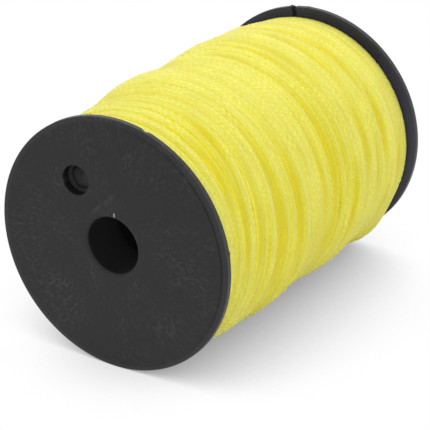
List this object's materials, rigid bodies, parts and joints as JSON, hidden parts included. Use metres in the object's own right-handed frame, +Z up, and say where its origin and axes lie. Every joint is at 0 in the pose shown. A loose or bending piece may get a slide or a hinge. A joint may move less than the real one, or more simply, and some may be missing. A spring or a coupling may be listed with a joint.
{
  "type": "fishing line spool",
  "caption": "Flanged plastic spool wound full of braided fishing line, with a through axle bore, blind drive pockets and a slit in one rim that catches the line's end.",
  "frame": {"origin": "middle of the spool, on the axis of the axle bore", "axes": "+Y along the axle from the front flange to the rear flange with the slit, +Z up, spool lying on its rims"},
  "size_m": [0.072, 0.1056, 0.072],
  "materials": {
    "black_plastic": "moulded, slightly scuffed",
    "line": "fluorescent yellow braid"
  },
  "bodies": {
    "root": {"front_flange": "black_plastic", "rear_flange": "black_plastic", "barrel": "black_plastic", "inner_line_layers": "line", "outer_line_layer": "line"}
  },
  "joints": []
}
